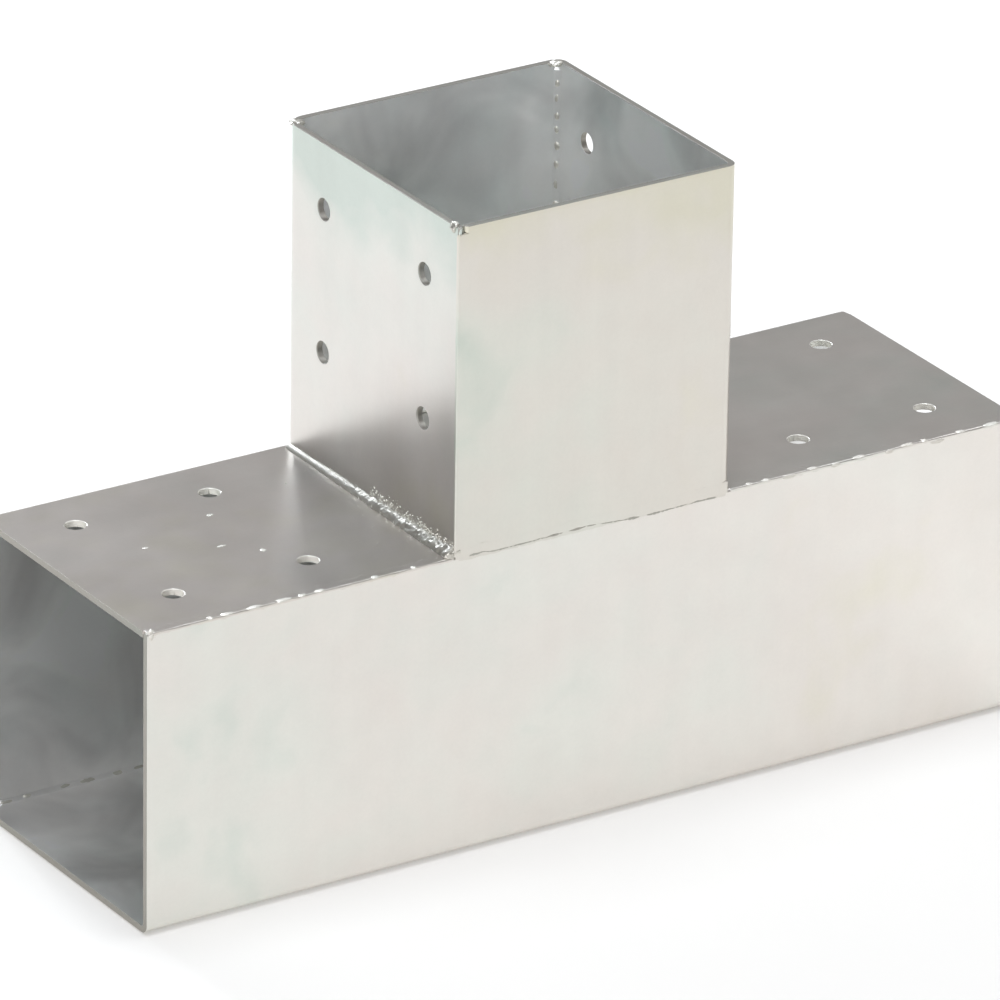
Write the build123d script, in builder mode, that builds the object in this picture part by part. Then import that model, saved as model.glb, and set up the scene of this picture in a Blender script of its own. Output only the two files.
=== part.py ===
from build123d import *
import math
import os

os.makedirs("parts", exist_ok=True)

# A three-way connector for square posts, welded from zinc-plated sheet steel.
# Origin under the middle of the lying tube, X along it, front face towards -Y, Z up.

# Post sockets and sheet
socket = 91.0  # clear width of each square socket, for a 90 mm post
sheet = 2.0
bend_inner = 1.0
arm = 102.5  # how far each of the three arms stands out from the crossing

outer = socket + 2 * sheet
half = outer / 2
bend_outer = bend_inner + sheet
length = outer + 2 * arm
height = outer + arm

# Screw holes, four in each holed wall
hole_d = 6.5
hole_from_side = 20.0
hole_from_end = 20.5
hole_pitch = 45.0
hole_gauge = outer - 2 * hole_from_side
upright_hole_from_seam = 18.0  # the upright's rows stand nearer to its welded edge
upright_hole_shift = half - upright_hole_from_seam - hole_gauge / 2
hole_middle = hole_from_end + hole_pitch / 2  # from the open end of the arm

# Seam welds: an open root between the sheets and a bevel on both edges
root_gap = 0.4
bevel = 0.9
crown = 0.3
seam_setback = 3.0
rim_setback = 1.6

# Drops of weld metal that came through the root on the inside of a corner
drop_height = 0.6
tube_drop_pitch = 10.0
tube_drop_length = 5.0
upright_drop_pitch = 6.0
upright_drop_length = 2.8

# Fillet welds at the foot of the upright
ripple_pitch = 3.0
ripple_depth = 0.3
ripple_rise = 0.3  # share of a ripple's length that climbs to its crest
taper_toe = 0.25  # shape of a rounded weld end, as shares of the leg
taper_shoulder = 0.65
leg_back = 2.2
leg_front = 3.2
leg_hidden = 2.6
base_bevel = 1.2
flare_angle = 20.0  # where the back weld runs out on the folded edge

short_end = -half + sheet + root_gap  # free edge of the short leg
seam_middle = -half + sheet + root_gap / 2
foot_start = half - bend_outer  # end of the flat face beside a folded edge

tube_plane = Plane(origin=(0, 0, half), x_dir=(0, 1, 0), z_dir=(1, 0, 0))
rim_plane = Plane(origin=(0, 0, height), x_dir=(-1, 0, 0), z_dir=(0, 0, -1))
tube_inside_corner = Plane(
    origin=(0, half - sheet, sheet), x_dir=(-1, 0, 0), z_dir=(0, 0, 1)
)
upright_inside_corner = Plane(
    origin=(half - sheet, half - sheet, (outer + height - rim_setback) / 2),
    x_dir=(0, 0, 1),
    z_dir=(0, -1, 0),
)
holes_z = height - hole_middle
left_wall = Plane(origin=(-half, -upright_hole_shift, holes_z), x_dir=(0, 1, 0), z_dir=(-1, 0, 0))
right_wall = Plane(origin=(half, upright_hole_shift, holes_z), x_dir=(0, 1, 0), z_dir=(1, 0, 0))
left_foot = Plane(origin=(-half, foot_start, outer), x_dir=(0, -1, 0), z_dir=(-1, 0, 0))
right_foot = Plane(origin=(half, -foot_start, outer), x_dir=(0, 1, 0), z_dir=(1, 0, 0))


def angle_section():
    """Section of one folded angle: a full leg, a bend and a short leg, both free edges bevelled."""
    with BuildSketch() as section:
        with BuildLine():
            Polyline(
                (half, half),
                (half, -half),
                (half - sheet + bevel, -half),
                (half - sheet, -half + bevel),
                (half - sheet, half - sheet),
                (short_end, half - sheet),
                (short_end, half - bevel),
                (short_end + bevel, half),
                close=True,
            )
        make_face()
        fillet(section.vertices().sort_by_distance((half, half))[0], bend_outer)
        inside_corner = (half - sheet, half - sheet)
        fillet(section.vertices().sort_by_distance(inside_corner)[0], bend_inner)
    return section.sketch


def seam_section(crown_height):
    """Section of a seam weld: V between the bevels, stem through the root, crown outside."""
    with BuildSketch() as section:
        with BuildLine():
            outline = Polyline(
                (seam_middle + root_gap / 2 + bevel, half),
                (seam_middle + root_gap / 2, half - bevel),
                (seam_middle + root_gap / 2, half - sheet),
                (seam_middle - root_gap / 2, half - sheet),
                (seam_middle - root_gap / 2, half - bevel),
                (seam_middle - root_gap / 2 - bevel, half),
            )
            if crown_height > 0:
                ThreePointArc(outline @ 1, (seam_middle, half + crown_height), outline @ 0)
            else:
                Line(outline @ 1, outline @ 0)
        make_face()
    return section.sketch


def drop_row(run, pitch, drop_length):
    """Half outlines of the drops along an inside corner, lying on the corner line (local X)."""
    with BuildSketch() as drop:
        with BuildLine():
            Polyline(
                (-drop_length / 2, 0),
                (-drop_length / 4, drop_height),
                (drop_length / 4, drop_height),
                (drop_length / 2, 0),
                close=True,
            )
        make_face()
    with BuildSketch() as row:
        with GridLocations(pitch, 1, int(run / pitch), 1):
            add(drop.sketch)
    return row.sketch


def ripple_profile(run, leg_start, leg_end, tapered_end):
    """Half outline of a fillet weld along local X: each ripple rises fast and falls slowly."""
    end_taper = leg_end if tapered_end else 0
    flat_run = run - leg_start - end_taper
    count = round(flat_run / ripple_pitch)
    pitch = flat_run / count
    outline = [(0, 0), (leg_start * taper_toe, leg_start * taper_shoulder)]
    for i in range(count):
        valley = leg_start + (leg_end - leg_start) * i / count - ripple_depth
        start = leg_start + pitch * i
        outline.append((start, valley))
        outline.append((start + pitch * ripple_rise, valley + ripple_depth))
    finish = run - end_taper
    outline.append((finish, leg_end - ripple_depth))
    if tapered_end:
        outline.append((run - leg_end * taper_toe, leg_end * taper_shoulder))
        finish = run
    outline.append((finish, 0))
    with BuildSketch() as profile:
        with BuildLine():
            Polyline(*outline, close=True)
        make_face()
    return profile.sketch


# Lying tube: two folded angles closed by two long seams
with BuildPart() as tube_top_back_angle:
    with BuildSketch(tube_plane):
        add(angle_section())
    extrude(amount=length / 2, both=True)
    for side in (-1, 1):
        arm_middle = side * (length / 2 - hole_middle)
        with Locations(Plane.XY.offset(outer)):
            with Locations((arm_middle, 0)):
                with GridLocations(hole_pitch, hole_gauge, 2, 2):
                    Hole(radius=hole_d / 2, depth=sheet)

with BuildPart() as tube_front_bottom_angle:
    with BuildSketch(tube_plane):
        add(angle_section().rotate(Axis.Z, 180))
    extrude(amount=length / 2, both=True)

# Upright sleeve: two more folded angles standing on the tube
wedge_start = seam_middle + root_gap / 2 + bevel
wedge_run = foot_start - wedge_start
with BuildPart() as front_base_weld:
    with BuildSketch(Plane.YZ.offset(wedge_start)):
        with BuildLine():
            Polyline(
                (-half, outer),
                (-half + base_bevel, outer),
                (-half, outer + base_bevel),
                close=True,
            )
        make_face()
    extrude(amount=wedge_run)

with BuildPart() as upright_left_back_angle:
    with BuildSketch(rim_plane):
        add(angle_section())
    extrude(amount=arm)
    with Locations(left_wall):
        with GridLocations(hole_gauge, hole_pitch, 2, 2):
            Hole(radius=hole_d / 2, depth=sheet)

with BuildPart() as upright_front_right_angle:
    with BuildSketch(rim_plane):
        add(angle_section().rotate(Axis.Z, 180))
    extrude(amount=arm)
    with Locations(right_wall):
        with GridLocations(hole_gauge, hole_pitch, 2, 2):
            Hole(radius=hole_d / 2, depth=sheet)
    add(front_base_weld.part, mode=Mode.SUBTRACT)

# Long seams of the tube
with BuildPart() as tube_front_seam_weld:
    with BuildSketch(tube_plane):
        add(seam_section(0))
    extrude(amount=length / 2 - seam_setback, both=True)
    for side in (-1, 1):
        with BuildSketch(tube_plane.offset(side * (half + leg_front))):
            add(seam_section(crown))
        extrude(amount=side * (arm - leg_front - seam_setback))

with BuildPart() as tube_back_seam_weld:
    with BuildSketch(tube_plane):
        add(seam_section(0).rotate(Axis.Z, 180))
    extrude(amount=length / 2 - seam_setback, both=True)
    with BuildSketch(tube_inside_corner):
        add(drop_row(length - 2 * seam_setback, tube_drop_pitch, tube_drop_length))
    revolve(axis=Axis(tube_inside_corner.origin, tube_inside_corner.x_dir), revolution_arc=90)

# Long seams of the upright, the back one with drops down its inside corner
seam_run = arm - rim_setback
with BuildPart() as upright_front_seam_weld:
    with BuildSketch(rim_plane.offset(rim_setback)):
        add(seam_section(0).rotate(Axis.Z, 180))
    extrude(amount=seam_run)

with BuildPart() as upright_back_seam_weld:
    with BuildSketch(rim_plane.offset(rim_setback)):
        add(seam_section(0))
    extrude(amount=seam_run)
    with BuildSketch(upright_inside_corner):
        add(drop_row(seam_run, upright_drop_pitch, upright_drop_length))
    revolve(axis=Axis(upright_inside_corner.origin, upright_inside_corner.x_dir), revolution_arc=90)

# Fillet welds along the foot of the two holed walls
with BuildPart() as left_fillet_weld:
    with BuildSketch(left_foot):
        add(ripple_profile(foot_start + half, leg_back, leg_front, False))
    revolve(axis=Axis(left_foot.origin, left_foot.x_dir), revolution_arc=90)

with BuildPart() as right_fillet_weld:
    with BuildSketch(right_foot):
        add(ripple_profile(2 * foot_start, leg_hidden, leg_hidden, True))
    revolve(axis=Axis(right_foot.origin, right_foot.x_dir), revolution_arc=90)

# Weld between the back wall and the bend of the tube below it
bend_middle_y = half - bend_outer
bend_middle_z = outer - bend_outer
flare_low = math.radians(flare_angle)
flare_high = math.acos((bend_outer - sheet) / bend_outer)
with BuildPart() as back_base_weld:
    with BuildSketch(Plane.YZ.offset(-foot_start)):
        with BuildLine():
            bend_points = []
            for turn in (flare_high, (flare_high + flare_low) / 2, flare_low):
                y = bend_middle_y + bend_outer * math.cos(turn)
                z = bend_middle_z + bend_outer * math.sin(turn)
                bend_points.append((y, z))
            ThreePointArc(*bend_points)
            Polyline(bend_points[2], (half, outer), (half - sheet, outer), bend_points[0])
        make_face()
    extrude(amount=foot_start + half)

tube_top_back_angle.part.label = "tube_top_back_angle"
export_step(tube_top_back_angle.part, "parts/tube_top_back_angle.step")
tube_front_bottom_angle.part.label = "tube_front_bottom_angle"
export_step(tube_front_bottom_angle.part, "parts/tube_front_bottom_angle.step")
upright_left_back_angle.part.label = "upright_left_back_angle"
export_step(upright_left_back_angle.part, "parts/upright_left_back_angle.step")
upright_front_right_angle.part.label = "upright_front_right_angle"
export_step(upright_front_right_angle.part, "parts/upright_front_right_angle.step")
tube_front_seam_weld.part.label = "tube_front_seam_weld"
export_step(tube_front_seam_weld.part, "parts/tube_front_seam_weld.step")
tube_back_seam_weld.part.label = "tube_back_seam_weld"
export_step(tube_back_seam_weld.part, "parts/tube_back_seam_weld.step")
upright_front_seam_weld.part.label = "upright_front_seam_weld"
export_step(upright_front_seam_weld.part, "parts/upright_front_seam_weld.step")
upright_back_seam_weld.part.label = "upright_back_seam_weld"
export_step(upright_back_seam_weld.part, "parts/upright_back_seam_weld.step")
front_base_weld.part.label = "front_base_weld"
export_step(front_base_weld.part, "parts/front_base_weld.step")
back_base_weld.part.label = "back_base_weld"
export_step(back_base_weld.part, "parts/back_base_weld.step")
left_fillet_weld.part.label = "left_fillet_weld"
export_step(left_fillet_weld.part, "parts/left_fillet_weld.step")
right_fillet_weld.part.label = "right_fillet_weld"
export_step(right_fillet_weld.part, "parts/right_fillet_weld.step")
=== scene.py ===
import math

import bmesh
import bpy
from mathutils import Matrix, Vector, noise


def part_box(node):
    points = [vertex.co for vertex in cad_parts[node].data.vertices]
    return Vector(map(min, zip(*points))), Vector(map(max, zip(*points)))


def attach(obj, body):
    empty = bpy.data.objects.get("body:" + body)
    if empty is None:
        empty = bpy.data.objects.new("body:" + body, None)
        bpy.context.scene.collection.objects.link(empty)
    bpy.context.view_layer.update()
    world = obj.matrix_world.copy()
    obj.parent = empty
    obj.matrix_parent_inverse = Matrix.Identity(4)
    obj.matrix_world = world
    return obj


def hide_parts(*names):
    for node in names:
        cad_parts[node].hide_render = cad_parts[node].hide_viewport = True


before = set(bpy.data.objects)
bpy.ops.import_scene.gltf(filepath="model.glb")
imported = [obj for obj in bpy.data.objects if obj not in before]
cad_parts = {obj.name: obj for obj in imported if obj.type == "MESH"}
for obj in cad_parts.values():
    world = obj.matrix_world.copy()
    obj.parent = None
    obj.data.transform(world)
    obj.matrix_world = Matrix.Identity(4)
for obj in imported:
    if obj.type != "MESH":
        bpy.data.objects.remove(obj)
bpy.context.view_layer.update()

# Zinc finish of the whole connector: bright electroplated zinc under a thin clear passivation,
# which leaves faint mint, straw and rose tints over the rolled surface of the steel.
rim = 0.1975
stained_depth = 0.034
mint, pale_mint, cream = (0.81, 0.905, 0.87, 1), (0.975, 1.0, 0.975, 1), (1.0, 0.992, 0.972, 1)
rose, straw = (1.0, 0.975, 0.955, 1), (0.965, 0.95, 0.85, 1)


def feed(tree, sockets, terms):
    """Gives each socket its number, vector or link."""
    for socket, term in zip(sockets, terms):
        if isinstance(term, (int, float, tuple)):
            socket.default_value = term
        else:
            tree.links.new(term, socket)


def calc(tree, operation, *terms):
    """A Math node fed with numbers or sockets, or a chain of them for more than two terms."""
    while len(terms) > 2:
        terms = (calc(tree, operation, *terms[:2]), *terms[2:])
    node = tree.nodes.new("ShaderNodeMath")
    node.operation = operation
    feed(tree, node.inputs, terms)
    return node.outputs[0]


def vector_calc(tree, operation, vector, other):
    """A Vector Math node of a vector and a second one, or of a vector and its scale."""
    node = tree.nodes.new("ShaderNodeVectorMath")
    node.operation = operation
    feed(tree, (node.inputs[0], node.inputs["Scale" if operation == "SCALE" else 1]), (vector, other))
    return node.outputs["Value" if operation == "DOT_PRODUCT" else "Vector"]


def cloud(tree, where, scale, detail, distortion=0.0):
    """A noise texture's strength at a place."""
    node = tree.nodes.new("ShaderNodeTexNoise")
    sockets = [node.inputs[label] for label in ("Vector", "Scale", "Detail", "Distortion")]
    feed(tree, sockets, (where, scale, detail, distortion))
    return node.outputs["Fac"]


def spread(tree, value, between, onto):
    """Maps a value from between two numbers onto two others."""
    node = tree.nodes.new("ShaderNodeMapRange")
    feed(tree, node.inputs[:5], (value, *between, *onto))
    return node.outputs["Result"]


def zinc_finish_group():
    """Colour, roughness and height of plated zinc at a place on the connector."""
    group = bpy.data.node_groups.new("zinc_finish", "ShaderNodeTree")
    inputs = (
        ("Tone", "Color"), ("Shift", "Vector"), ("Rolling", "Vector"), ("Lean", "Vector"), ("Bias", "Float"),
        ("Rim Stain", "Float"), ("Swell", "Float"), ("Dullness", "Float"), ("Clouding", "Float"),
    )
    for label, kind in inputs:
        group.interface.new_socket(label, in_out="INPUT", socket_type="NodeSocket" + kind)
    for label, kind in (("Color", "Color"), ("Roughness", "Float"), ("Height", "Float")):
        group.interface.new_socket(label, in_out="OUTPUT", socket_type="NodeSocket" + kind)
    nodes, links = group.nodes, group.links
    given = nodes.new("NodeGroupInput").outputs
    place = nodes.new("ShaderNodeTexCoord").outputs["Object"]
    moved = vector_calc(group, "ADD", place, given["Shift"])
    stretched = vector_calc(group, "MULTIPLY", moved, given["Rolling"])

    patches = cloud(group, moved, scale=15.0, detail=2.0, distortion=0.4)
    flecks = cloud(group, moved, scale=55.0, detail=2.0, distortion=0.3)
    height_up = nodes.new("ShaderNodeSeparateXYZ")
    links.new(place, height_up.inputs[0])
    near_rim = spread(group, height_up.outputs["Z"], (rim - stained_depth, rim), (0.0, 1.0))
    depth = calc(
        group, "ADD",
        spread(group, patches, (0.3, 0.7), (0.38, 0.62)),
        spread(group, flecks, (0.2, 0.8), (-0.10, 0.10)),
        vector_calc(group, "DOT_PRODUCT", place, given["Lean"]),
        given["Bias"],
        calc(group, "MULTIPLY", near_rim, given["Rim Stain"]),
    )
    tints = nodes.new("ShaderNodeValToRGB")
    ramp = tints.color_ramp
    for element, position, color in zip(ramp.elements, (0.20, 0.80), (mint, straw)):
        element.position = position
        element.color = color
    for position, color in ((0.36, pale_mint), (0.50, cream), (0.62, rose)):
        ramp.elements.new(position).color = color
    links.new(depth, tints.inputs["Fac"])
    tinted = nodes.new("ShaderNodeMix")
    tinted.data_type = "RGBA"
    tinted.blend_type = "MULTIPLY"
    tinted.inputs["Factor"].default_value = 1.0
    links.new(given["Tone"], tinted.inputs["A"])
    links.new(tints.outputs["Color"], tinted.inputs["B"])

    mottle = cloud(group, moved, scale=95.0, detail=4.0)
    streaks = cloud(group, stretched, scale=1.0, detail=3.0)
    grain = cloud(group, moved, scale=850.0, detail=2.0)
    # Clouds of brighter and darker zinc, used only on the inside faces: painted patches of reflected light.
    clouds = cloud(group, moved, scale=24.0, detail=3.0, distortion=0.6)
    clouds = spread(group, clouds, (0.3, 0.7), (-1.0, 1.0))
    uneven = calc(
        group, "ADD",
        spread(group, mottle, (0.1, 0.9), (0.965, 1.02)),
        spread(group, streaks, (0.1, 0.9), (-0.035, 0.0)),
        spread(group, grain, (0.1, 0.9), (-0.03, 0.0)),
        calc(group, "MULTIPLY", clouds, given["Clouding"]),
    )
    haze = cloud(group, moved, scale=28.0, detail=4.0)
    roughness = calc(
        group, "ADD",
        spread(group, haze, (0.2, 0.8), (0.30, 0.35)),
        spread(group, mottle, (0.2, 0.8), (-0.01, 0.015)),
        given["Dullness"],
    )
    swell = cloud(group, moved, scale=16.0, detail=1.0)
    height = calc(
        group, "ADD",
        calc(group, "MULTIPLY", swell, given["Swell"]),
        calc(group, "MULTIPLY", streaks, 0.006),
        calc(group, "MULTIPLY", grain, 0.003),
        calc(group, "MULTIPLY", mottle, 0.004),
    )
    out = nodes.new("NodeGroupOutput")
    links.new(vector_calc(group, "SCALE", tinted.outputs["Result"], uneven), out.inputs["Color"])
    links.new(roughness, out.inputs["Roughness"])
    links.new(height, out.inputs["Height"])
    return group


zinc_finish = zinc_finish_group()


def zinc_material(name, relief=1.0, metal=0.82, **finish):
    """Zinc with a relief in millimetres; tone, shift, rim_stain and so on go to the finish group."""
    material = bpy.data.materials.new(name)
    material.use_nodes = True
    nodes, links = material.node_tree.nodes, material.node_tree.links
    shader = nodes["Principled BSDF"]
    shader.inputs["Metallic"].default_value = metal
    group = nodes.new("ShaderNodeGroup")
    group.node_tree = zinc_finish
    plain = {"rolling": (60.0, 60.0, 60.0), "swell": 0.8}
    for word, value in {**plain, **finish}.items():
        group.inputs[word.replace("_", " ").title()].default_value = value
    bump = nodes.new("ShaderNodeBump")
    bump.inputs["Strength"].default_value = 1.0
    bump.inputs["Distance"].default_value = 0.001 * relief
    links.new(group.outputs["Color"], shader.inputs["Base Color"])
    links.new(group.outputs["Roughness"], shader.inputs["Roughness"])
    links.new(group.outputs["Height"], bump.inputs["Height"])
    links.new(bump.outputs["Normal"], shader.inputs["Normal"])
    return material


# Lying tube: two sheets of 2 mm steel, each sheared to size, folded once to an angle and drilled.
# One gives the top and the back, the other the front and the bottom. Their arrises are just broken.
thickness = 0.002
half_length, half, tube_top = 0.150, 0.0475, 0.095
arris = 0.00025
end_round, end_burr = 0.0007, 0.0010
ground_back = 0.00095
hole_roll = 0.00055
cad_fold, fold_step = 0.003, 0.001
far_corner_radius, far_corner_height = 0.0058, 0.009
end_zone = 0.1487
largest_hole_facet = 2.4e-6
end_margin = 0.005
same_point, plane_slack, slack = 2e-6, 2e-5, 0.0001
flat_turn, sharp_turn = math.radians(2), math.radians(35)
hole_zinc = zinc_material(
    "zinc_in_holes", tone=(0.844, 0.822, 0.767, 1.0), shift=(0.5, 0.7, 0.1),
    relief=2.0, metal=0.25, dullness=0.05)
# The inside copy of the zinc is lighter and cooler than the outer sheets: painted light for the light that
# reaches into the tube and the upright.
lightened_inside_zinc = zinc_material(
    "zinc_inside_painted_lighter", tone=(0.905, 0.915, 0.915, 1.0), shift=(0.2, 0.9, 0.5), rolling=(60.0, 60.0, 30.0),
    swell=2.5, clouding=0.26)
cut_zinc = zinc_material(
    "zinc_on_cut_edges", tone=(0.400, 0.388, 0.355, 1.0), shift=(0.9, 0.2, 0.4), relief=3.0, dullness=0.10)
top_zinc = zinc_material(
    "zinc_on_top_and_back", tone=(0.780, 0.756, 0.720, 1.0), shift=(0.0, 0.0, 0.0),
    rolling=(25.0, 160.0, 25.0), lean=(-0.5, 0.0, 0.0), bias=0.06, metal=0.94)
front_zinc = zinc_material(
    "zinc_on_front_and_bottom", tone=(0.838, 0.818, 0.783, 1.0), shift=(0.31, 0.17, 0.0),
    rolling=(130.0, 130.0, 12.0), lean=(0.50, 0.0, -0.3), bias=0.03, metal=0.94)


def take(mesh, name, slot, *nodes):
    """Makes a finished mesh a piece of the connector, in place of CAD nodes where they are named."""
    piece = bpy.data.objects.new(name, mesh)
    bpy.context.scene.collection.objects.link(piece)
    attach(piece, "root")
    if nodes:
        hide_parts(*nodes)


def faces_inside(centre, normal):
    """Whether a face belongs to the inside of the lying tube or of the upright."""
    inner_wall = half - thickness + slack
    in_tube = abs(centre.y) < inner_wall and thickness - slack < centre.z < tube_top - thickness + slack
    in_upright = max(abs(centre.x), abs(centre.y)) < inner_wall and centre.z > tube_top + slack
    faces_three_ways = sum(abs(part) for part in normal) >= 1.5
    return (in_tube or in_upright) and not faces_three_ways


def face_weighted_normals(mesh):
    """Wide flat faces stay flat to their rim, and only the bends and arrises turn."""
    turned = [Vector((0, 0, 0)) for _ in mesh.vertices]
    for polygon in mesh.polygons:
        polygon.use_smooth = True
        for index in polygon.vertices:
            turned[index] += polygon.normal * polygon.area
    mesh.normals_split_custom_set_from_vertices([v.normalized() for v in turned])


def loops_beside(form, face, depths):
    """Cuts a sheet across at depths behind an outer face, given by its axis, level and outward sign."""
    axis, level, out = face
    for depth in depths:
        place, normal = [0.0, 0.0, 0.0], [0.0, 0.0, 0.0]
        place[axis], normal[axis] = level - out * depth, 1.0
        everything = form.verts[:] + form.edges[:] + form.faces[:]
        bmesh.ops.bisect_plane(form, geom=everything, dist=1e-6, plane_co=place, plane_no=normal)


def depths_at(point, corner):
    """How deep a point lies behind each of a corner's outer faces."""
    return [(level - point[axis]) * out for axis, level, out in corner]


def set_depths(vertex, corner, depths):
    """Moves a point to its depths behind a corner's outer faces."""
    for (axis, level, out), depth in zip(corner, depths):
        vertex.co[axis] = level - out * depth


def widen_fold(form, corner, radius):
    """Opens a fold to a larger outer radius and keeps the sheet's thickness."""
    for face in corner:
        loops_beside(form, face, [radius, radius - fold_step, radius - 2 * fold_step, cad_fold])
    for vertex in form.verts:
        first, last = depths_at(vertex.co, corner)
        if first < radius and last < radius:
            depth = min(first, last)
            if first < cad_fold and last < cad_fold:
                depth = cad_fold - math.hypot(cad_fold - first, cad_fold - last)
            scale = (radius - depth) / math.hypot(radius - first, radius - last)
            set_depths(vertex, corner, (radius - (radius - first) * scale, radius - (radius - last) * scale))


def ground_depths(depths, radius):
    """Depths at a corner once the metal outside a radius is off."""
    scale = min(radius / math.hypot(*(radius - depth for depth in depths)), 1.0)
    return [radius - (radius - depth) * scale for depth in depths]


def grind_corner(form, corner, radius):
    """Takes metal off outside a radius at a corner."""
    for vertex in form.verts:
        depths = depths_at(vertex.co, corner)
        if max(depths) < radius:
            set_depths(vertex, corner, ground_depths(depths, radius))


def round_far_corner(form):
    """Rounds the top corner at the end of the tube's back fold, where the sheet was snipped."""
    end, back, top = (0, half_length, 1), (1, half, 1), (2, tube_top, 1)
    loops_beside(form, end, [far_corner_radius * share for share in (1.0, 0.75, 0.5, 0.3, 0.15)])
    loops_beside(form, back, [far_corner_radius])
    loops_beside(form, top, [far_corner_height])
    for vertex in form.verts:
        depths = depths_at(vertex.co, (end, back))
        if vertex.co.z > tube_top - far_corner_height + 0.0005 and max(depths) < far_corner_radius:
            set_depths(vertex, (end,), ground_depths(depths, far_corner_radius))


def dressed_sheet(node, name, skin, ground_edge, holed_face, wide_fold=None, round_corner=None):
    """The sheet with rolled hole rims, the edge under its ground seam rounded, and other arrises broken."""
    low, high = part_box(node)
    sheet = bmesh.new()
    sheet.from_mesh(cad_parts[node].data)
    bmesh.ops.remove_doubles(sheet, verts=sheet.verts, dist=same_point)
    bmesh.ops.dissolve_limit(sheet, angle_limit=flat_turn, verts=sheet.verts, edges=sheet.edges)

    def sharp(edge, *planes):
        gaps = [abs(vertex.co[axis] - level) for vertex in edge.verts for axis, level in planes]
        return all(gap < plane_slack for gap in gaps) and edge.calc_face_angle(0) > sharp_turn

    def clear_of_ends(edge):
        middle = (edge.verts[0].co + edge.verts[1].co) / 2
        axes = [axis for axis in range(3) if axis != holed_face[0]]
        return all(low[axis] + end_margin < middle[axis] < high[axis] - end_margin for axis in axes)

    def bevel(size, steps, *planes, hole_rims=False):
        """Rounds the sharp edges that lie on all the planes."""
        edges = [edge for edge in sheet.edges if sharp(edge, *planes)]
        if hole_rims:
            edges = [edge for edge in edges if clear_of_ends(edge)]
        bmesh.ops.bevel(
            sheet, geom=edges, offset=size, offset_type="OFFSET", segments=steps, profile=0.5, affect="EDGES",
            clamp_overlap=True)

    if holed_face:
        bevel(hole_roll, 4, holed_face, hole_rims=True)
    bevel(ground_back, 4, *ground_edge)
    if "tube" in node:
        for end in (low[0], high[0]):
            bevel(end_round, 3, (0, end), (2, tube_top))
            bevel(end_burr, 3, (0, end), (2, tube_top - thickness))
    bevel(arris, 2)
    if node == "tube_top_back_angle":
        round_far_corner(sheet)
    if wide_fold:
        widen_fold(sheet, *wide_fold)
    if round_corner:
        cut_face, corner, radius = round_corner
        loops_beside(sheet, cut_face, [radius, radius * 0.75, radius * 0.5, radius * 0.3])
        grind_corner(sheet, corner, radius)
    mesh = bpy.data.meshes.new(name)
    sheet.to_mesh(mesh)
    sheet.free()
    for material in (skin, cut_zinc, hole_zinc, lightened_inside_zinc):
        mesh.materials.append(material)
    cut, bright, inside = 1, 2, 3
    for polygon in mesh.polygons:
        centre, normal = polygon.center, polygon.normal
        leans_out = "tube" in node and abs(centre.x) > end_zone and abs(normal.x) > 0.25
        at_end = leans_out and normal.z < 0.3
        at_rim = "upright" in node and centre.z > high[2] - slack
        in_hole = holed_face and polygon.area < largest_hole_facet and abs(normal[holed_face[0]]) < 0.9
        if at_end or at_rim:
            polygon.material_index = cut
        elif leans_out:
            polygon.material_index = bright
        elif in_hole and centre.z > tube_top - thickness - slack:
            polygon.material_index = bright if "tube" in node else cut
        # Faces inside the tube and the upright take the lighter inside copy, painted light.
        elif faces_inside(centre, normal):
            polygon.material_index = inside
    face_weighted_normals(mesh)
    take(mesh, name, "zinc_sheet", node)


dressed_sheet(
    "tube_top_back_angle", "tube_top_back_sheet", top_zinc,
    ground_edge=((1, half), (2, 0.0)), holed_face=(2, tube_top))
dressed_sheet(
    "tube_front_bottom_angle", "tube_front_bottom_sheet", front_zinc,
    ground_edge=((1, -half), (2, tube_top)), holed_face=None)

# Upright sleeve: two more sheets folded the same way and stood on the tube with the folds opposite.
# The left one is holed in its left wall, the right one in its right wall.
left_wall, back_wall, right_wall = (0, -half, -1), (1, half, 1), (0, half, 1)
wide_fold_radius, back_corner_radius = 0.006, 0.004
back_corner = (back_wall, right_wall)
left_zinc = zinc_material(
    "zinc_on_left_and_back", tone=(0.766, 0.746, 0.722, 1.0), shift=(0.62, 0.34, 0.0),
    rolling=(150.0, 150.0, 9.0), lean=(0.0, -1.2, -2.6), bias=0.42, rim_stain=-0.30, swell=3.0, metal=0.94)
right_zinc = zinc_material(
    "zinc_on_front_and_right", tone=(0.762, 0.744, 0.696, 1.0), shift=(0.93, 0.51, 0.0),
    rolling=(150.0, 150.0, 9.0), lean=(1.8, 0.0, -0.6), bias=0.07, rim_stain=0.34, metal=0.94)
dressed_sheet(
    "upright_left_back_angle", "upright_left_back_sheet", left_zinc,
    ground_edge=((0, -half), (1, -half)), holed_face=(0, -half),
    wide_fold=((left_wall, back_wall), wide_fold_radius),
    round_corner=(right_wall, back_corner, back_corner_radius))
dressed_sheet(
    "upright_front_right_angle", "upright_front_right_sheet", right_zinc,
    ground_edge=((0, half), (1, half)), holed_face=(0, half),
    round_corner=(back_wall, back_corner, back_corner_radius))

# Long seams, MIG welded from outside and ground nearly flush with the sheets on both sides.
# The grinding leaves a narrow uneven flat over each corner with a few pits and bright flecks.
seam_step = 0.0003
seam_skin = 0.0004


def geometry_tree(name, *labels):
    """A tree with inputs for numbers, a seed and a material, and those inputs."""
    tree = bpy.data.node_groups.new(name, "GeometryNodeTree")
    tree.interface.new_socket("Geometry", in_out="OUTPUT", socket_type="NodeSocketGeometry")
    for label, kind in [(label, "Float") for label in labels] + [("Seed", "Int"), ("Material", "Material")]:
        tree.interface.new_socket(label, in_out="INPUT", socket_type="NodeSocket" + kind)
    return tree, tree.nodes.new("NodeGroupInput").outputs


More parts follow.
